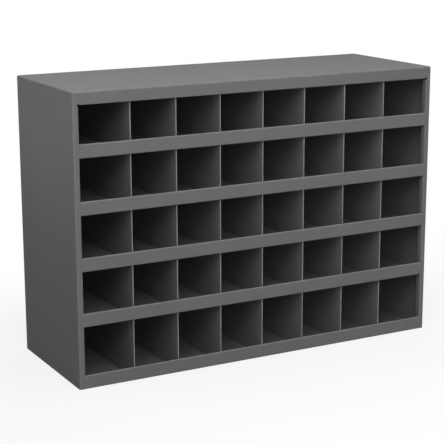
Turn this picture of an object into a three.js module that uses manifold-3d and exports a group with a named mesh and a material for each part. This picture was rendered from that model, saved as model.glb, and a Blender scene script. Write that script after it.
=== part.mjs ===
// Pigeonhole bin cabinet: forty open bins in a welded case of folded sheet steel.
// Millimetres, +Z up, the open front faces -Y, and the origin is the middle of the base.

import * as THREE from 'three';
import { RoundedBoxGeometry } from 'three/addons/geometries/RoundedBoxGeometry.js';
import { mergeVertices } from 'three/addons/utils/BufferGeometryUtils.js';
import Module from 'manifold-3d';

// Case
const WIDTH = 857.25;
const DEPTH = 304.8;
const HEIGHT = 606.4;
const SHEET = 0.9;
const CORNER_RADIUS = 3;
const SIDE_FLANGE = 12.7;
const SIDE_RETURN = 12.7;
const TOP_RAIL = 26.4;
const REAR_FLANGE = 12.7;
const CORNER_RELIEF = 3;
const MITRE_SLIT = 1;

// Bins
const COLUMNS = 8;
const ROWS = 5;
const TOP_ROW = 131.9;
const BOTTOM_ROW = 130.1;
const END_COLUMN = 123.8;

// Shelves and bottom panel
const LIP = 28.5;
const WELD_FLANGE = 12;
const BEND_INSIDE = 1.2;
const HEM = 8;
const HEM_GAP = 0.6;

// Dividers
const DIVIDER_SHEET = 0.75;
const DIVIDER_SETBACK = 5;
const DIVIDER_HEM = 10;
const DIVIDER_HEM_GAP = 0.9;
const TAB_LENGTH = 28;
const TAB_SHORT_OF_FACE = 0.1;
const SLOT_CLEARANCE = 0.3;
const FLOOR_TAB_PLACES = [0.2, 0.8];
const CEILING_TAB_PLACES = [0.4, 0.6];

// Gap left between two sheets that are welded or rest on each other
const LAP_GAP = 0.15;
const ARC_STEPS = 4;
const CORNER_STEPS = 4;

// Sizes that follow from those above
const SHELF_PITCH = (HEIGHT - TOP_ROW - BOTTOM_ROW) / (ROWS - 2);
const DIVIDER_PITCH = (WIDTH - 2 * END_COLUMN) / (COLUMNS - 2);
const FRONT = -DEPTH / 2;
const REAR = DEPTH / 2;
const SIDE = WIDTH / 2;
const MID_BEND = BEND_INSIDE + SHEET / 2;
const OUTER_BEND = BEND_INSIDE + SHEET;
const HEM_BEND = (HEM_GAP + SHEET) / 2;
const FRONT_MIDLINE = FRONT + SHEET / 2;
const MOUTH_SIDE = SIDE - SIDE_FLANGE;
const BACK_PANEL_REAR = REAR - SHEET - LAP_GAP;
const SHELF_REAR = BACK_PANEL_REAR - SHEET - LAP_GAP;
const DIVIDER_FRONT = FRONT + DIVIDER_SETBACK;
const DIVIDER_REAR = SHELF_REAR - OUTER_BEND - LAP_GAP;

const wasm = await Module();
wasm.setup();

// Turns a closed three.js geometry into a solid that can be joined and cut.
function solidOf(geometry) {
  const bare = geometry.clone();
  bare.deleteAttribute('normal');
  bare.deleteAttribute('uv');
  const merged = mergeVertices(bare);
  const mesh = new wasm.Mesh({
    numProp: 3,
    vertProperties: new Float32Array(merged.attributes.position.array),
    triVerts: new Uint32Array(merged.index.array),
  });
  return new wasm.Manifold(mesh);
}

// Turns a finished solid back into a geometry for a mesh.
function geometryOf(solid) {
  const { vertProperties, triVerts } = solid.getMesh();
  const geometry = new THREE.BufferGeometry();
  geometry.setAttribute('position', new THREE.BufferAttribute(vertProperties, 3));
  geometry.setIndex(new THREE.BufferAttribute(triVerts, 1));
  geometry.computeVertexNormals();
  return geometry;
}

// A rectangular block between two values on each axis.
function block([x0, x1], [y0, y1], [z0, z1]) {
  const geometry = new THREE.BoxGeometry(x1 - x0, y1 - y0, z1 - z0);
  geometry.translate((x0 + x1) / 2, (y0 + y1) / 2, (z0 + z1) / 2);
  return solidOf(geometry);
}

// A block round the origin with every edge and corner rounded.
function roundedBlock(width, depth, height, radius) {
  return solidOf(new RoundedBoxGeometry(width, depth, height, CORNER_STEPS, radius));
}

// The outline of a folded sheet. The mid-line is a list of [u, v, bend radius], its corners become arcs,
// and the two faces of the sheet lie half its thickness to either side.
function foldedOutline(midline, thickness) {
  const points = midline.map(([u, v]) => new THREE.Vector2(u, v));
  const leftFace = [];
  const rightFace = [];
  const place = (point, normal) => {
    leftFace.push(point.clone().addScaledVector(normal, thickness / 2));
    rightFace.unshift(point.clone().addScaledVector(normal, -thickness / 2));
  };
  const direction = (i) => points[i + 1].clone().sub(points[i]).normalize();
  const leftOf = (vector) => new THREE.Vector2(-vector.y, vector.x);
  const last = points.length - 1;

  place(points[0], leftOf(direction(0)));
  for (let i = 1; i < last; i += 1) {
    const radius = midline[i][2];
    const before = direction(i - 1);
    const after = direction(i);
    const turn = Math.atan2(before.cross(after), before.dot(after));
    const side = Math.sign(turn);
    const start = points[i].clone().addScaledVector(before, -radius * Math.tan(Math.abs(turn) / 2));
    const centre = start.clone().addScaledVector(leftOf(before), side * radius);
    for (let step = 0; step <= ARC_STEPS; step += 1) {
      const normal = leftOf(before).rotateAround(new THREE.Vector2(), (turn * step) / ARC_STEPS);
      place(centre.clone().addScaledVector(normal, -side * radius), normal);
    }
  }
  place(points[last], leftOf(direction(last - 1)));
  return new THREE.Shape([...leftFace, ...rightFace]);
}

// Extrusions of an outline: drawn in (y, z) and run along X, drawn in (x, z) and run along Y, or drawn in
// (x, y) and run along Z.
const AXES = {
  x: [new THREE.Vector3(0, 1, 0), new THREE.Vector3(0, 0, 1), new THREE.Vector3(1, 0, 0)],
  y: [new THREE.Vector3(1, 0, 0), new THREE.Vector3(0, 0, 1), new THREE.Vector3(0, -1, 0)],
  z: [new THREE.Vector3(1, 0, 0), new THREE.Vector3(0, 1, 0), new THREE.Vector3(0, 0, 1)],
};

function run(outline, axis, [from, to]) {
  const geometry = new THREE.ExtrudeGeometry(outline, { depth: to - from, bevelEnabled: false });
  const [u, v, w] = AXES[axis];
  const start = axis === 'y' ? -to : from;
  geometry.translate(0, 0, start);
  geometry.applyMatrix4(new THREE.Matrix4().makeBasis(u, v, w));
  return solidOf(geometry);
}

// Case wrapper: left side, top and right side folded from one sheet, with its front frame and rear flanges.
function caseWrapper() {
  const skin = roundedBlock(WIDTH, DEPTH, 2 * HEIGHT, CORNER_RADIUS);
  const inside = roundedBlock(
    WIDTH - 2 * SHEET,
    DEPTH - 2 * SHEET,
    2 * (HEIGHT - SHEET),
    CORNER_RADIUS - SHEET,
  );
  const below = block([-WIDTH, WIDTH], [-DEPTH, DEPTH], [-2 * HEIGHT, 0]);
  const railBottom = HEIGHT - TOP_RAIL;
  const mouthHalf = MOUTH_SIDE + OUTER_BEND;
  const mouth = block([-mouthHalf, mouthHalf], [-DEPTH, 0], [-HEIGHT, railBottom + OUTER_BEND]);
  const rearHalf = SIDE - REAR_FLANGE;
  const rearMouth = block([-rearHalf, rearHalf], [0, DEPTH], [-HEIGHT, HEIGHT - REAR_FLANGE]);
  let wrapper = skin.subtract(inside).subtract(below).subtract(mouth).subtract(rearMouth);

  for (const hand of [-1, 1]) {
    const returnMidline = MOUTH_SIDE + SHEET / 2;
    const sideReturn = foldedOutline(
      [
        [hand * (SIDE - CORNER_RADIUS), FRONT_MIDLINE],
        [hand * returnMidline, FRONT_MIDLINE, MID_BEND],
        [hand * returnMidline, FRONT + SIDE_RETURN],
      ],
      SHEET,
    );
    wrapper = wrapper.add(run(sideReturn, 'z', [0, railBottom - CORNER_RELIEF]));
    wrapper = wrapper.subtract(mitreSlit(hand));
  }

  const railHem = foldedOutline(
    [
      [FRONT_MIDLINE, HEIGHT - CORNER_RADIUS],
      [FRONT_MIDLINE, railBottom + SHEET / 2, HEM_BEND],
      [FRONT_MIDLINE + 2 * HEM_BEND, railBottom + SHEET / 2, HEM_BEND],
      [FRONT_MIDLINE + 2 * HEM_BEND, railBottom + HEM],
    ],
    SHEET,
  );
  const railHalf = MOUTH_SIDE - CORNER_RELIEF;
  return wrapper.add(run(railHem, 'x', [-railHalf, railHalf]));
}

// The slit where a side's rear flange and the top's rear flange meet in a mitre.
function mitreSlit(hand) {
  const length = Math.SQRT2 * (REAR_FLANGE - CORNER_RADIUS);
  const geometry = new THREE.BoxGeometry(length, 2 * CORNER_RADIUS, MITRE_SLIT);
  geometry.rotateY((-hand * Math.PI) / 4);
  const middle = (REAR_FLANGE + CORNER_RADIUS) / 2;
  geometry.translate(hand * (SIDE - middle), REAR, HEIGHT - middle);
  return solidOf(geometry);
}

// Back panel: a flat sheet inside the rear flanges.
function backPanel() {
  const half = SIDE - CORNER_RADIUS - LAP_GAP;
  const low = OUTER_BEND + LAP_GAP;
  const high = HEIGHT - CORNER_RADIUS - LAP_GAP;
  return block([-half, half], [BACK_PANEL_REAR - SHEET, BACK_PANEL_REAR], [low, high]);
}

// A tray is the floor of a row of bins, with its underside at z = 0: it is folded up into a hemmed lip at
// the front, and has weld flanges at its rear and its ends, up or down.
function tray(rearFace, flangeTip, slots) {
  const floorMidline = SHEET / 2;
  const rearMidline = rearFace - SHEET / 2;
  const profile = foldedOutline(
    [
      [rearMidline, flangeTip],
      [rearMidline, floorMidline, MID_BEND],
      [FRONT_MIDLINE, floorMidline, MID_BEND],
      [FRONT_MIDLINE, LIP - SHEET / 2, HEM_BEND],
      [FRONT_MIDLINE + 2 * HEM_BEND, LIP - SHEET / 2, HEM_BEND],
      [FRONT_MIDLINE + 2 * HEM_BEND, LIP - HEM],
    ],
    SHEET,
  );
  const endMidline = SIDE - SHEET - LAP_GAP - SHEET / 2;
  const floorHalf = endMidline - MID_BEND;
  const frontNotch = FRONT + SIDE_RETURN + LAP_GAP;
  const lipHalf = MOUTH_SIDE - LAP_GAP;
  let solid = run(profile, 'x', [-floorHalf, floorHalf]);

  for (const hand of [-1, 1]) {
    const cornerNotch = [hand * lipHalf, hand * WIDTH].sort((a, b) => a - b);
    solid = solid.subtract(block(cornerNotch, [-DEPTH, frontNotch], [-LIP, 2 * LIP]));
    const rearNotch = [hand * (SIDE - REAR_FLANGE - LAP_GAP), hand * WIDTH].sort((a, b) => a - b);
    const rearNotchFront = rearFace - OUTER_BEND - LAP_GAP;
    solid = solid.subtract(block(rearNotch, [rearNotchFront, DEPTH], [-LIP, 2 * LIP]));
    const endFlange = foldedOutline(
      [
        [hand * (floorHalf - WELD_FLANGE), floorMidline],
        [hand * endMidline, floorMidline, MID_BEND],
        [hand * endMidline, flangeTip],
      ],
      SHEET,
    );
    solid = solid.add(run(endFlange, 'y', [frontNotch, rearNotchFront - CORNER_RELIEF]));
  }
  return solid.subtract(slots);
}

// The places of a row's dividers, and the middle of a tab at a share of a divider's depth.
const dividerPlaces = Array.from(
  { length: COLUMNS - 1 },
  (_, i) => (i - (COLUMNS - 2) / 2) * DIVIDER_PITCH,
);
const tabMiddle = (share) => DIVIDER_FRONT + share * (DIVIDER_REAR - DIVIDER_FRONT);

// Slots through a floor for the tabs of the dividers.
function tabSlots(shares) {
  const half = TAB_LENGTH / 2 + SLOT_CLEARANCE;
  const halfWidth = DIVIDER_SHEET / 2 + SLOT_CLEARANCE;
  const slots = dividerPlaces.flatMap((x) =>
    shares.map((share) => {
      const y = tabMiddle(share);
      return block([x - halfWidth, x + halfWidth], [y - half, y + half], [-SHEET, 2 * SHEET]);
    }),
  );
  return wasm.Manifold.union(slots);
}

// A divider stands at x = 0 on a floor whose upper face is at z = 0. Its front edge is hemmed, and tabs reach
// into the slots of the floor below and, except under the top, of the floor above.
function divider(clearHeight, ceilingShares) {
  const hemBend = (DIVIDER_HEM_GAP + DIVIDER_SHEET) / 2;
  const frontMidline = DIVIDER_FRONT + DIVIDER_SHEET / 2;
  const plan = foldedOutline(
    [
      [2 * hemBend, DIVIDER_FRONT + DIVIDER_HEM],
      [2 * hemBend, frontMidline, hemBend],
      [0, frontMidline, hemBend],
      [0, DIVIDER_REAR],
    ],
    DIVIDER_SHEET,
  );
  const tab = (share, span) => {
    const y = tabMiddle(share);
    const faces = [-DIVIDER_SHEET / 2, DIVIDER_SHEET / 2];
    return block(faces, [y - TAB_LENGTH / 2, y + TAB_LENGTH / 2], span);
  };
  const reach = SHEET - TAB_SHORT_OF_FACE;
  const floorTabs = FLOOR_TAB_PLACES.map((share) => tab(share, [-reach, 2 * SHEET]));
  const ceilingSpan = [clearHeight - 2 * SHEET, clearHeight + reach];
  const ceilingTabs = ceilingShares.map((share) => tab(share, ceilingSpan));
  const plate = run(plan, 'z', [LAP_GAP, clearHeight - LAP_GAP]);
  return wasm.Manifold.union([plate, ...floorTabs, ...ceilingTabs]);
}

const PAINT = { color: 0x6d7073, roughness: 0.55, metalness: 0.1 };

function piece(name, geometry) {
  const mesh = new THREE.Mesh(geometry, new THREE.MeshStandardMaterial(PAINT));
  mesh.name = name;
  return mesh;
}

const cabinet = new THREE.Group();
cabinet.add(piece('case_wrapper', geometryOf(caseWrapper())));
cabinet.add(piece('back_panel', geometryOf(backPanel())));

const bottomSlots = tabSlots(FLOOR_TAB_PLACES);
cabinet.add(piece('bottom_panel', geometryOf(tray(REAR, WELD_FLANGE, bottomSlots))));

const shelfSlots = tabSlots([...FLOOR_TAB_PLACES, ...CEILING_TAB_PLACES]);
const shelfGeometry = geometryOf(tray(SHELF_REAR, SHEET - WELD_FLANGE, shelfSlots));

// Rows are counted from the top, and each row's floor carries that row's dividers.
for (let row = 1; row <= ROWS; row += 1) {
  const floorHeight = row === ROWS ? 0 : BOTTOM_ROW + (ROWS - 1 - row) * SHELF_PITCH;
  const ceilingHeight = row === 1 ? HEIGHT - SHEET : BOTTOM_ROW + (ROWS - row) * SHELF_PITCH;
  const tier = new THREE.Group();
  tier.position.z = floorHeight;
  if (row < ROWS) {
    tier.add(piece(`shelf_${row}`, shelfGeometry));
  }
  const clearHeight = ceilingHeight - floorHeight - SHEET;
  const ceilingShares = row === 1 ? [] : CEILING_TAB_PLACES;
  const dividerGeometry = geometryOf(divider(clearHeight, ceilingShares));
  dividerPlaces.forEach((x, i) => {
    const mesh = piece(`divider_row${row}_${i + 1}`, dividerGeometry);
    mesh.position.set(x, 0, SHEET);
    tier.add(mesh);
  });
  cabinet.add(tier);
}

export default cabinet;
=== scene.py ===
# Looks of a steel pigeonhole bin cabinet: forty open bins in a welded case, all in one grey baked enamel.
# Lengths are metres, +Z is up, and the open front faces -Y.

import math

import bpy
import numpy as np
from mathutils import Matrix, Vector


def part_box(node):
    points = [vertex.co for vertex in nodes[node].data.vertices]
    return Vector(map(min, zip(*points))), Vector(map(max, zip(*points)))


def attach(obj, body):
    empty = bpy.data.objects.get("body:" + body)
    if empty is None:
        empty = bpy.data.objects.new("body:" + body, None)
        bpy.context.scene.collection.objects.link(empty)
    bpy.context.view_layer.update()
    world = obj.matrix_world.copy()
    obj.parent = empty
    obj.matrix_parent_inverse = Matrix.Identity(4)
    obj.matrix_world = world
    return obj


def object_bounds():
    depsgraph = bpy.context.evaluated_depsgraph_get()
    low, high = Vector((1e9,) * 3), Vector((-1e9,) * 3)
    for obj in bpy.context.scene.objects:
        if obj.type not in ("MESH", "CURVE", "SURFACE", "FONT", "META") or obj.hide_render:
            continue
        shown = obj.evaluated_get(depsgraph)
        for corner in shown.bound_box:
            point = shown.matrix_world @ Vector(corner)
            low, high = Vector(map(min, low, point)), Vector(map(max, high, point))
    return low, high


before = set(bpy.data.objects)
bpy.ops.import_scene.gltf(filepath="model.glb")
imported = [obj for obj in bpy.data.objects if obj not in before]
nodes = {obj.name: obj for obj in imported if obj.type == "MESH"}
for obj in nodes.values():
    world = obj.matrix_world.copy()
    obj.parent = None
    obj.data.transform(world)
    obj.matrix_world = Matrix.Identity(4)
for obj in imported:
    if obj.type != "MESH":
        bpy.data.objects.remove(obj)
cad_low, cad_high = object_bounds()


# Case wrapper
# The left side, the top and the right side are one sheet of 0.9 mm steel, bent round the corners and in
# again at the front and the rear. It is spot welded to the rest, then sprayed and baked.

MM = 0.001


class Shade:
    """A value, colour, vector or shader in a tree of nodes. Arithmetic on values adds Math nodes."""

    def __init__(self, tree, socket=None):
        self.tree = tree
        self.socket = socket

    def node(self, kind, settings, inputs, output=0):
        """Adds a node, sets it up, then sets or links its sockets, and gives one of its outputs."""
        made = self.tree.nodes.new(kind)
        for name, value in settings.items():
            setattr(made, name, value)
        for name, value in inputs.items():
            if isinstance(value, Shade):
                value.feed(made, name)
            else:
                made.inputs[name].default_value = value
        return Shade(self.tree, made.outputs[output])

    def feed(self, node, name):
        """Links this to a socket of a node."""
        self.tree.links.new(self.socket, node.inputs[name])

    def maths(self, operation, *values):
        """A Math node on one or two values or numbers."""
        return self.node("ShaderNodeMath", {"operation": operation}, dict(enumerate(values)))

    def __add__(self, other):
        return self.maths("ADD", self, other)

    def __radd__(self, other):
        return self.maths("ADD", other, self)

    def __sub__(self, other):
        return self.maths("SUBTRACT", self, other)

    def __rsub__(self, other):
        return self.maths("SUBTRACT", other, self)

    def __mul__(self, other):
        return self.maths("MULTIPLY", self, other)

    def __rmul__(self, other):
        return self.maths("MULTIPLY", other, self)

    def __abs__(self):
        return self.maths("ABSOLUTE", self)

    def most(self, other):
        return self.maths("MAXIMUM", self, other)

    def least(self, other):
        return self.maths("MINIMUM", self, other)

    def rise(self, low, high):
        """0 below low, 1 above high, and a smooth step between. With low over high it falls instead."""
        inputs = {"Value": self, "From Min": low, "From Max": high}
        return self.node("ShaderNodeMapRange", {"interpolation_type": "SMOOTHSTEP"}, inputs)

    def parts(self):
        """The three numbers of a vector."""
        return [self.node("ShaderNodeSeparateXYZ", {}, {"Vector": self}, axis) for axis in "XYZ"]

    def noise(self, wavelength, detail):
        """Soft noise from 0 to 1 at a place, with bumps about a wavelength apart."""
        inputs = {"Vector": self, "Scale": 1 / wavelength, "Detail": detail}
        return self.node("ShaderNodeTexNoise", {}, inputs, "Fac")

    def swing(self, wavelength, detail):
        """The same noise from -0.5 to 0.5, so that it is about 0 on average."""
        return self.noise(wavelength, detail) - 0.5

    def spots(self, wavelength, detail, start, full):
        """The same noise cut into spots: 0 where it is under start, and 1 where it is over full."""
        return self.noise(wavelength, detail).rise(start, full)

    def stretched(self, x, y, z):
        """A place with each axis drawn out by a factor."""
        inputs = {"Vector": self, "Scale": (1 / x, 1 / y, 1 / z)}
        return self.node("ShaderNodeMapping", {}, inputs)

    def mix(self, start, end):
        """A colour that goes from start to end as this value goes from 0 to 1."""
        # A Mix node has its colours in inputs 6 and 7 and in output 2.
        return self.node("ShaderNodeMix", {"data_type": "RGBA"}, {"Factor": self, 6: start, 7: end}, 2)


ENAMEL_DARK = (0.146, 0.149, 0.153, 1)
ENAMEL_LIGHT = (0.184, 0.187, 0.190, 1)
PALE_EDGE = (0.30, 0.302, 0.304, 1)
PRIMER = (0.36, 0.35, 0.33, 1)
DUST = (0.34, 0.33, 0.31, 1)
GRIME_AND_SHADE = (0.060, 0.058, 0.054, 1)
ENAMEL_TONE = 0.5
ENAMEL_ROUGHNESS = 0.56
ENAMEL_SHINE = 0.045

# Wavelength and detail of the noise behind each pattern of the film.
DRIFT = (90 * MM, 3.0)
GRAIN = (1.1 * MM, 0.0)
PEEL = (2.6 * MM, 1.0)
WAVE = (150 * MM, 0.0)

# The same for spots on the film, then the noise at which they start and are full. Scuffs are many times as
# long, from front to rear, as they are wide.
PATCHES = (22 * MM, 2.0, 0.38, 0.66)
SMUDGES = (38 * MM, 4.0, 0.50, 0.72)
DUST_CLOUDS = (40 * MM, 4.0, 0.42, 0.80)
CHIPS = (7 * MM, 3.0, 0.69, 0.71)
SCUFFS = (2.4 * MM, 2.0, 0.58, 0.72)
SCUFF_STRETCH = 60

# How far each goes: in tone, where 0 is the dark enamel and 1 the light, in roughness, and in height.
DRIFT_TONE = 0.7
GRAIN_TONE = 0.9
SMUDGE_TONE = -0.12
SCUFF_TONE = 1.6
DRIFT_ROUGHNESS = 0.10
SMUDGE_ROUGHNESS = -0.06
DUST_ROUGHNESS = 0.05
SCUFF_ROUGHNESS = -0.10
GRIME_ROUGHNESS = 0.15
RUB_ROUGHNESS = -0.10
CHIP_ROUGHNESS = 0.10
PEEL_HEIGHT = 0.018 * MM
WAVE_HEIGHT = 0.22 * MM
FILM = 0.05 * MM

# Dust lies on faces that look up, and chips break out where an edge is rubbed most. The dark of grime and
# painted shade, and the pale of wear and painted highlight, are partly even and partly in patches.
DUSTY_SLOPE = (0.6, 0.95)
DUST_SHARE = 0.05
CHIPPED_EDGE = (0.5, 0.8)
DARK_EVEN = 0.7
PALE_EVEN = 0.6


def enamel(name, worn_and_lit=None, pale_strength=0.0, scuffed=None, grime_and_shade=None):
    """Grey enamel, sprayed on thin sheet steel and baked. Its colour drifts a little, the film has an
    orange peel, and the sheet under it is not quite flat. Each mask is a function of x, y and z. The edge
    mask is 1 on edges that hands and parts rub, which are painted pale, partly as wear and partly as a
    painted highlight, and chip; the scuff mask is 1 on floors that parts slide over; and the dark mask is
    how much grime and painted shade lie on the film."""
    material = bpy.data.materials.new(name)
    material.use_nodes = True
    tree = material.node_tree
    shader = tree.nodes["Principled BSDF"]
    place = Shade(tree).node("ShaderNodeTexCoord", {}, {}, "Object")
    x, y, z = place.parts()
    upward = Shade(tree).node("ShaderNodeNewGeometry", {}, {}, "Normal").parts()[2]

    drift = place.swing(*DRIFT)
    grain = place.swing(*GRAIN)
    patches = place.spots(*PATCHES)
    smudge = place.spots(*SMUDGES)
    dust = upward.rise(*DUSTY_SLOPE) * place.spots(*DUST_CLOUDS)
    tone = ENAMEL_TONE + DRIFT_TONE * drift + GRAIN_TONE * grain + SMUDGE_TONE * smudge
    roughness = ENAMEL_ROUGHNESS + DRIFT_ROUGHNESS * drift + SMUDGE_ROUGHNESS * smudge
    roughness = roughness + DUST_ROUGHNESS * dust
    height = PEEL_HEIGHT * place.noise(*PEEL) + WAVE_HEIGHT * place.noise(*WAVE)
    if scuffed:
        streaks = place.stretched(1, SCUFF_STRETCH, 1).spots(*SCUFFS)
        scuff = scuffed(x, y, z) * streaks * patches
        tone = tone + SCUFF_TONE * scuff
        roughness = roughness + SCUFF_ROUGHNESS * scuff
    colour = tone.mix(ENAMEL_DARK, ENAMEL_LIGHT)
    colour = (DUST_SHARE * dust).mix(colour, DUST)
    # The film is painted darker by grime, and on the back panel partly as painted shade.
    if grime_and_shade:
        darkening = grime_and_shade(x, y, z) * (DARK_EVEN + (1 - DARK_EVEN) * patches)
        colour = darkening.mix(colour, GRIME_AND_SHADE)
        roughness = roughness + GRIME_ROUGHNESS * darkening
    # The edges are painted pale, partly as rubbed wear and partly as a painted highlight; the chips are
    # wear.
    if worn_and_lit:
        edge = worn_and_lit(x, y, z)
        wear_and_highlight = pale_strength * edge * (PALE_EVEN + (1 - PALE_EVEN) * patches)
        chip = edge.rise(*CHIPPED_EDGE) * place.spots(*CHIPS)
        colour = wear_and_highlight.mix(colour, PALE_EDGE)
        colour = chip.mix(colour, PRIMER)
        roughness = roughness + RUB_ROUGHNESS * wear_and_highlight + CHIP_ROUGHNESS * chip
        height = height - FILM * chip

    normal = Shade(tree).node("ShaderNodeBump", {}, {"Height": height, "Distance": 1.0})
    colour.feed(shader, "Base Color")
    roughness.feed(shader, "Roughness")
    normal.feed(shader, "Normal")
    shader.inputs["Specular IOR Level"].default_value = ENAMEL_SHINE
    return material


SAME_CORNER = 0.02 * MM
SOFT_EDGE = 0.2 * MM
SOFT_EDGE_FACETS = 2
BEND_ANGLE = math.radians(40)
LARGE_FACES_ONLY = 100


def finish_sheet(node, material, rounded=True):
    """Paints a sheet. Its bends are shaded smooth, and its cut edges are rounded as a film of enamel rounds
    them, or left sharp where they meet too closely."""
    skin = node.modifiers.new("one_skin", "WELD")
    skin.merge_threshold = SAME_CORNER
    if rounded:
        edge = node.modifiers.new("soft_edge", "BEVEL")
        edge.width = SOFT_EDGE
        edge.segments = SOFT_EDGE_FACETS
        edge.limit_method = "ANGLE"
        edge.angle_limit = BEND_ANGLE
    else:
        edge = node.modifiers.new("cut_edge", "EDGE_SPLIT")
        edge.split_angle = BEND_ANGLE
    flats = node.modifiers.new("flat_faces", "WEIGHTED_NORMAL")
    flats.keep_sharp = False
    flats.weight = LARGE_FACES_ONLY
    node.data.materials.clear()
    node.data.materials.append(material)


case_low, case_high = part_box("case_wrapper")
# The outer edges and bends of the case are painted pale, partly as rubbed wear and partly as a painted
# highlight.
CASE_WEAR_AND_HIGHLIGHT = 0.30
EDGE_BAND = 5 * MM
EDGE_FULL = 1 * MM


def case_edges(x, y, z):
    """1 where two outer faces of the case meet, fading out over the edge band."""
    from_side = case_high.x - abs(x)
    from_front = y - case_low.y
    from_top = case_high.z - z
    from_upright_edge = from_side.most(from_front)
    from_top_edge = from_top.most(from_side.least(from_front))
    return from_upright_edge.least(from_top_edge).rise(EDGE_BAND, EDGE_FULL)


case_enamel = enamel("case_enamel", case_edges, CASE_WEAR_AND_HIGHLIGHT)
finish_sheet(nodes["case_wrapper"], case_enamel, rounded=False)


# Back panel
# A flat sheet of the same steel, spot welded inside the rear flanges of the case. It is painted darker
# along the edges of the flanges, partly as grime where a cloth doesn't reach and partly as painted shade.

REAR_FLANGE = 12.7 * MM
FOOT_GRIME_AND_SHADE = 0.55
FOOT_WIDTH = 5 * MM
HAZE_GRIME_AND_SHADE = 0.15
HAZE_WIDTH = 40 * MM


def flange_foot(x, y, z):
    """Grime and painted shade: a line at the rear flanges' edges, and a wider haze inwards from them."""
    from_sides = case_high.x - REAR_FLANGE - abs(x)
    from_top = case_high.z - REAR_FLANGE - z
    from_bottom = z - REAR_FLANGE
    nearest = from_sides.least(from_top).least(from_bottom)
    return FOOT_GRIME_AND_SHADE * nearest.rise(FOOT_WIDTH, 0) + HAZE_GRIME_AND_SHADE * nearest.rise(HAZE_WIDTH, 0)


finish_sheet(nodes["back_panel"], enamel("back_enamel", grime_and_shade=flange_foot))


# Shelves and bottom panel
# Each is a tray of the same steel, folded up at the front into a lip with a hem along its top, and welded
# in by its flanges. The hem is painted pale, partly as rubbed wear and partly as a painted highlight of its
# round top, and what is taken out slides over the floor.

SHEET = 0.9 * MM
LIP = 28.5 * MM
# How pale the hem is painted, as rubbed wear and as a painted highlight of its round top.
HEM_WEAR_AND_HIGHLIGHT = 0.55
HEM_BAND = 4 * MM
HEM_FULL = 1 * MM
SCUFF_CLEAR = 2 * MM
SCUFF_FULL = 0.5 * MM
trays = ["bottom_panel"] + [name for name in sorted(nodes) if name.startswith("shelf_")]


def tray_enamel(tray):
    """Enamel of one tray, with the hem and the floor at its own height."""
    lip_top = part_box(tray)[1].z
    floor_top = lip_top - LIP + SHEET

    def hem(x, y, z):
        """1 along the top of the lip."""
        return z.rise(lip_top - HEM_BAND, lip_top - HEM_FULL)

    def bin_floor(x, y, z):
        """1 on the floor of the bins, and 0 on the lip above it."""
        return z.rise(floor_top + SCUFF_CLEAR, floor_top + SCUFF_FULL)

    return enamel(f"{tray}_enamel", hem, HEM_WEAR_AND_HIGHLIGHT, bin_floor)


for tray in trays:
    finish_sheet(nodes[tray], tray_enamel(tray))


# Dividers
# Upright sheets of 0.75 mm steel, hemmed at the front and held by tabs in slots of the trays. The rounded
# front edge is painted pale, partly as rubbed wear and partly as a painted highlight, and the faces behind
# it are painted a little paler towards the mouth, as painted light with a little rubbing.

# How pale the nose is painted, as rubbed wear and as a painted highlight of its round edge.
NOSE_WEAR_AND_HIGHLIGHT = 1.0
NOSE_BAND = 3 * MM
NOSE_FULL = 1 * MM
# The faces near the mouth are painted paler: painted light falling into the bins, with a little rubbing.
FACE_LIGHT_AND_RUB = 0.25
FACE_DEPTH = 45 * MM
dividers = [name for name in sorted(nodes) if name.startswith("divider_")]
divider_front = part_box(dividers[0])[0].y


def divider_nose(x, y, z):
    """1 on the rounded front edge of a divider, and a little on the faces behind it."""
    nose = y.rise(divider_front + NOSE_BAND, divider_front + NOSE_FULL)
    return nose.most(FACE_LIGHT_AND_RUB * y.rise(divider_front + FACE_DEPTH, divider_front))


divider_enamel = enamel("divider_enamel", divider_nose, NOSE_WEAR_AND_HIGHLIGHT)
for divider in dividers:
    finish_sheet(nodes[divider], divider_enamel)


# Spot welds
# The welding tips leave round prints where the trays' flanges lie on the sides and the back, and where the
# back panel lies on the rear flanges. Each is a flat dimple inside a low rim, and is painted with the rest.

FLANGE_MIDDLE = 6 * MM
SIDE_RIM = 0.06 * MM
REAR_RIM = 0.22 * MM
REAR_PRINT_GRIME = 0.3

# The profile of a print, from its dimple over its rim and down into the sheet: radius, and height in rims.
PRINT_RADII = np.array([1.7, 2.3, 2.8, 3.3, 3.3]) * MM
PRINT_HEIGHTS = np.array([0.2, 1.0, 0.8, 0.0, -1.0])
PRINT_SIDES = 14

# Prints in a row from front to rear, across the back and up a rear flange, and the space left at its ends.
SIDE_PRINTS = 4
SIDE_MARGIN = 35 * MM
BACK_PRINTS = 8
BACK_MARGIN = 60 * MM
UPRIGHT_PRINTS = 6
UPRIGHT_MARGIN = 45 * MM

LEFT = np.array([-1.0, 0.0, 0.0])
REAR = np.array([0.0, 1.0, 0.0])
UP = np.array([0.0, 0.0, 1.0])


def print_grime(x, y, z):
    """Grime on the rear prints, the same all over."""
    return REAR_PRINT_GRIME


def painted_welds(name, rings, material):
    """One painted piece of closed skins. rings[weld, ring, place] are points: each is joined to the next
    place round its ring and to the next ring, and the first and last rings are closed by a face."""
    corner = np.arange(rings.size // 3).reshape(rings.shape[:3])
    beside = np.roll(corner, -1, axis=2)
    walls = np.stack([corner[:, :-1], corner[:, 1:], beside[:, 1:], beside[:, :-1]], axis=-1)
    first = corner[:, 0]
    last = corner[:, -1, ::-1]
    faces = [*walls.reshape(-1, 4).tolist(), *first.tolist(), *last.tolist()]
    mesh = bpy.data.meshes.new(name)
    mesh.from_pydata(rings.reshape(-1, 3).tolist(), [], faces)
    mesh.shade_smooth()
    mesh.set_sharp_from_angle(angle=BEND_ANGLE)
    mesh.materials.append(material)
    piece = bpy.data.objects.new(name, mesh)
    bpy.context.scene.collection.objects.link(piece)
    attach(piece, "root")


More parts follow.
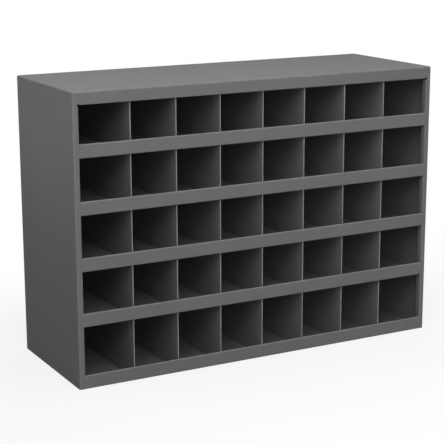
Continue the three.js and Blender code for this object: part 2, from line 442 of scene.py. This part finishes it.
def weld_prints(name, centres, outward, across, rim, material):
    """Round prints on a flat sheet. A profile of radius and height is turned about each print's own axis:
    centre + radius * (cos(turn) * across + sin(turn) * along) + height * outward. It is closed inside the
    sheet."""
    along = np.cross(outward, across)
    turn = np.arange(PRINT_SIDES) * 2 * math.pi / PRINT_SIDES
    spoke = np.cos(turn)[:, None] * across + np.sin(turn)[:, None] * along
    rings = PRINT_RADII[:, None, None] * spoke + rim * PRINT_HEIGHTS[:, None, None] * outward
    painted_welds(name, np.array(centres)[:, None, None] + rings, material)


weld_enamel = enamel("weld_enamel")
rear_print_enamel = enamel("print_enamel", grime_and_shade=print_grime)
tray_lines = [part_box(tray)[0].z + FLANGE_MIDDLE for tray in trays]
depths = np.linspace(case_low.y + SIDE_MARGIN, case_high.y - SIDE_MARGIN, SIDE_PRINTS)
spread = np.linspace(case_low.x + BACK_MARGIN, case_high.x - BACK_MARGIN, BACK_PRINTS)
heights = np.linspace(UPRIGHT_MARGIN, case_high.z - UPRIGHT_MARGIN, UPRIGHT_PRINTS)

on_left = [(case_low.x, y, z) for z in tray_lines for y in depths]
on_right = [(case_high.x, y, z) for z in tray_lines for y in depths]
weld_prints("left_weld_prints", on_left, LEFT, REAR, SIDE_RIM, weld_enamel)
weld_prints("right_weld_prints", on_right, -LEFT, REAR, SIDE_RIM, weld_enamel)

back_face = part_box("back_panel")[1].y
flange_side = case_high.x - FLANGE_MIDDLE
flange_lines = (tray_lines[0], case_high.z - FLANGE_MIDDLE)
on_rear = [(x, back_face, z) for z in tray_lines[1:] for x in spread]
on_rear += [(x, case_high.y, z) for x in (-flange_side, flange_side) for z in heights]
on_rear += [(x, case_high.y, z) for z in flange_lines for x in spread]
weld_prints("rear_weld_prints", on_rear, REAR, UP, REAR_RIM, rear_print_enamel)


# Lip welds
# Each end of a lip is welded into the groove beside the rounded bend of the side flange. The weld is
# dressed almost flush, so that the enamel runs over it with only a faint hollow.

SIDE_FLANGE = 12.7 * MM
BEND_INSIDE = 1.2 * MM
HEM_GAP = 0.6 * MM
FLANGE_BEND = BEND_INSIDE + SHEET
HEM_ROUND = HEM_GAP / 2 + SHEET

# The profile of a bead, from the flange to the lip and back inside them: how far it reaches over the lip,
# and how deep it lies behind the front of the case. BEAD_UP are heights above the foot of the lip.
BEAD_ACROSS = np.array([-2.0, -0.9, 0.2, 0.2, -1.0]) * MM
BEAD_SUNK = np.array([0.05, 0.10, 0.05, 0.80, 0.80]) * MM
BEAD_UP = np.array([0.6, 0.9, 1.3, 2.1, 14.0, 27.3, 27.7, 28.0, 28.2]) * MM


def lip_welds(name, hand):
    """Beads at one end of every lip, with hand -1 for the left and 1 for the right. A profile from flange
    to lip is carried up the lip, at (hand * (mouth - across), front + sunk + share * fall(up), foot + up).
    share goes from 0 at the flange to 1 at the lip, and fall is how far the round foot and the round hem
    of the lip lie behind its face."""
    foot = np.array([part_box(tray)[1].z - LIP for tray in trays])
    mouth = case_high.x - SIDE_FLANGE
    into_foot = np.clip(FLANGE_BEND - BEAD_UP, 0, None)
    into_hem = np.clip(BEAD_UP - (LIP - HEM_ROUND), 0, None)
    foot_fall = FLANGE_BEND - np.sqrt(FLANGE_BEND**2 - into_foot**2)
    hem_fall = HEM_ROUND - np.sqrt(HEM_ROUND**2 - into_hem**2)
    fall = foot_fall + hem_fall
    share = (BEAD_ACROSS + FLANGE_BEND) / (BEAD_ACROSS.max() + FLANGE_BEND)
    x = hand * (mouth - BEAD_ACROSS)
    y = case_low.y + BEAD_SUNK + share * fall[:, None]
    z = foot[:, None, None] + BEAD_UP[:, None]
    rings = np.stack(np.broadcast_arrays(x, y, z), axis=-1)
    # The left beads go round the other way, so that their faces point outwards too.
    painted_welds(name, rings[:, :, ::hand], weld_enamel)


lip_welds("left_lip_welds", -1)
lip_welds("right_lip_welds", 1)


# Floor and surround
# A pale floor runs into a white surround, as in a studio. Both look white and throw little light. The floor
# keeps the cabinet's shadow round it, and stays dark under it, where it could be seen through the slots of
# the bottom panel.

WHITE = (1, 1, 1, 1)
FLOOR_SIZE = 40.0
FLOOR_GAP = 0.2 * MM
FLOOR_GREY = (0.35, 0.35, 0.35, 1)
FLOOR_PALE = (0.9, 0.9, 0.9, 1)
FLOOR_DARK_EDGE = 2 * MM
SHADOW_SHARE = 0.2
SHADOW_REACH = 0.7
SURROUND_LIGHT = 0.06


def seen_directly(tree):
    """1 for what the camera sees, itself, in a reflection or through glass, and 0 for light on things."""
    seen = Shade(tree).node("ShaderNodeLightPath", {}, {}, "Is Camera Ray")
    for ray in ("Is Glossy Ray", "Is Transmission Ray"):
        seen = seen.most(Shade(tree).node("ShaderNodeLightPath", {}, {}, ray))
    return seen


floor_paint = bpy.data.materials.new("floor_paint")
floor_paint.use_nodes = True
tree = floor_paint.node_tree
tree.nodes.remove(tree.nodes["Principled BSDF"])
x, y = Shade(tree).node("ShaderNodeTexCoord", {}, {}, "Object").parts()[:2]
away = (abs(x) - cad_high.x).most(abs(y) - cad_high.y)
seen_beside = away.rise(-FLOOR_DARK_EDGE, 0) * seen_directly(tree)
# Near the cabinet part of the white gives way to the lit floor, which shows the real shadow and is also a
# little darker there where lit: painted shade.
white_share = seen_beside * (1 - SHADOW_SHARE * away.rise(SHADOW_REACH, 0))
floor_colour = seen_beside.mix(FLOOR_GREY, FLOOR_PALE)
matt = Shade(tree).node("ShaderNodeBsdfDiffuse", {}, {"Color": floor_colour})
white = Shade(tree).node("ShaderNodeEmission", {}, {"Color": WHITE, "Strength": 1.0})
both = Shade(tree).node("ShaderNodeMixShader", {}, {0: white_share, 1: matt, 2: white})
both.feed(tree.nodes["Material Output"], "Surface")

half = FLOOR_SIZE / 2
floor_level = cad_low.z - FLOOR_GAP
corners = [(x, y, floor_level) for x, y in ((-half, -half), (half, -half), (half, half), (-half, half))]
floor_mesh = bpy.data.meshes.new("floor")
floor_mesh.from_pydata(corners, [], [(0, 1, 2, 3)])
floor_mesh.materials.append(floor_paint)
floor = bpy.data.objects.new("floor", floor_mesh)
bpy.context.scene.collection.objects.link(floor)

surround = bpy.data.worlds.new("surround")
surround.use_nodes = True
bpy.context.scene.world = surround
background = surround.node_tree.nodes["Background"]
background.inputs["Color"].default_value = WHITE
strength = SURROUND_LIGHT + (1 - SURROUND_LIGHT) * seen_directly(surround.node_tree)
strength.feed(background, "Strength")


# Lamps
# Soft boxes. Most of the light comes from above and from high on the front left, so that each tray shades
# the bins under it. Two small lamps at the left make that side paler upwards, and two light the right side
# and the rear.

middle = (cad_low + cad_high) / 2


def soft_light(name, azimuth, elevation, distance, width, height, watts):
    """A rectangular lamp aimed at the middle of the cabinet. Azimuth 0 is in front, and 90 at the right."""
    turn = math.radians(azimuth)
    tilt = math.radians(elevation)
    level = math.cos(tilt)
    outward = Vector((math.sin(turn) * level, -math.cos(turn) * level, math.sin(tilt)))
    lamp = bpy.data.lights.new(name, "AREA")
    lamp.shape = "RECTANGLE"
    lamp.size = width
    lamp.size_y = height
    lamp.energy = watts
    light = bpy.data.objects.new(name, lamp)
    light.location = middle + distance * outward
    light.rotation_euler = (-outward).to_track_quat("-Z", "Y").to_euler()
    light.visible_camera = False
    bpy.context.scene.collection.objects.link(light)


soft_light("over", azimuth=10, elevation=80, distance=1.45, width=1.4, height=0.9, watts=3.5)
soft_light("over_front", azimuth=0, elevation=63, distance=1.42, width=1.4, height=0.7, watts=5.7)
soft_light("front_left", azimuth=-30, elevation=38, distance=3.0, width=1.6, height=1.6, watts=32.6)
soft_light("front", azimuth=-12, elevation=12, distance=3.0, width=1.6, height=1.6, watts=19)
soft_light("low_right", azimuth=35, elevation=-9, distance=1.0, width=0.5, height=0.3, watts=0.48)
soft_light("left_top", azimuth=-95, elevation=50, distance=1.25, width=0.5, height=0.5, watts=1.58)
soft_light("left_strip", azimuth=-90, elevation=20, distance=0.72, width=0.6, height=0.1, watts=0.24)
soft_light("right", azimuth=90, elevation=10, distance=3.0, width=1.6, height=1.6, watts=36)
soft_light("rear", azimuth=148, elevation=0, distance=3.0, width=1.6, height=0.5, watts=75)


# Camera
# It stands to the left of the cabinet and above its middle, as the photograph's did, and was fitted to the
# corners of the case without a shift of the lens.

VIEW_AZIMUTH = math.radians(-28.56)
VIEW_ELEVATION = math.radians(13.26)
VIEW_ROLL = math.radians(0.151)
CAMERA_PLACE = Vector((-1.409, -2.560, 0.958))
SENSOR_WIDTH_MM = 36
LENS_MM = 109.47

camera_data = bpy.data.cameras.new("camera")
camera_data.sensor_width = SENSOR_WIDTH_MM
camera_data.lens = LENS_MM
camera = bpy.data.objects.new("camera", camera_data)
camera.location = CAMERA_PLACE
camera.rotation_euler = (math.pi / 2 - VIEW_ELEVATION, VIEW_ROLL, VIEW_AZIMUTH)
bpy.context.scene.collection.objects.link(camera)
bpy.context.scene.camera = camera
bpy.context.scene.view_settings.view_transform = "Standard"
